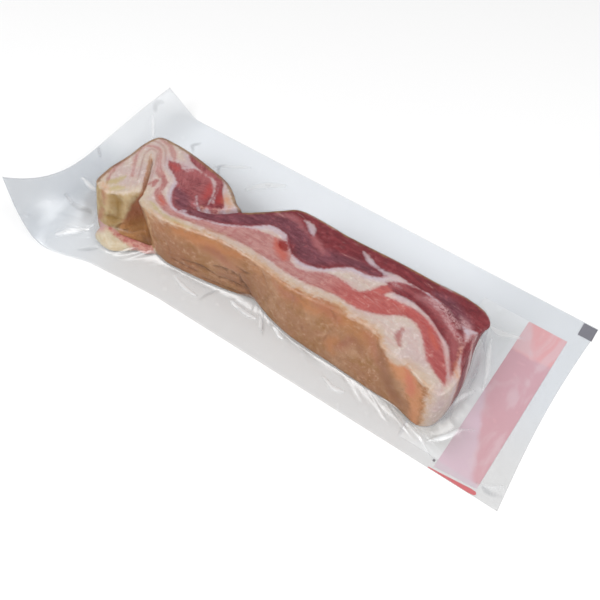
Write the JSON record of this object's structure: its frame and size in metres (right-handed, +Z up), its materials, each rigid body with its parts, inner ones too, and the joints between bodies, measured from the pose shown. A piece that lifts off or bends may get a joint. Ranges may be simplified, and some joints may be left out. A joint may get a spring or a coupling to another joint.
{
  "type": "vacuum-packed pancetta",
  "caption": "Folded strip of cured pork belly with its rind on, sealed in a clear flat pouch whose left end curls up; lies flat on a table.",
  "frame": {"origin": "middle of the underside of the whole pack's box, on the table", "axes": "+X along the pouch to its printed end, +Y away from the rind side of the meat, +Z up"},
  "size_m": [0.333, 0.1432, 0.0445],
  "materials": {
    "cured_meat": "moist, under clinging film",
    "clear_film": "clear, glossy and slightly creased"
  },
  "bodies": {
    "root": {"pancetta": "cured_meat", "pouch": "clear_film"}
  },
  "joints": []
}
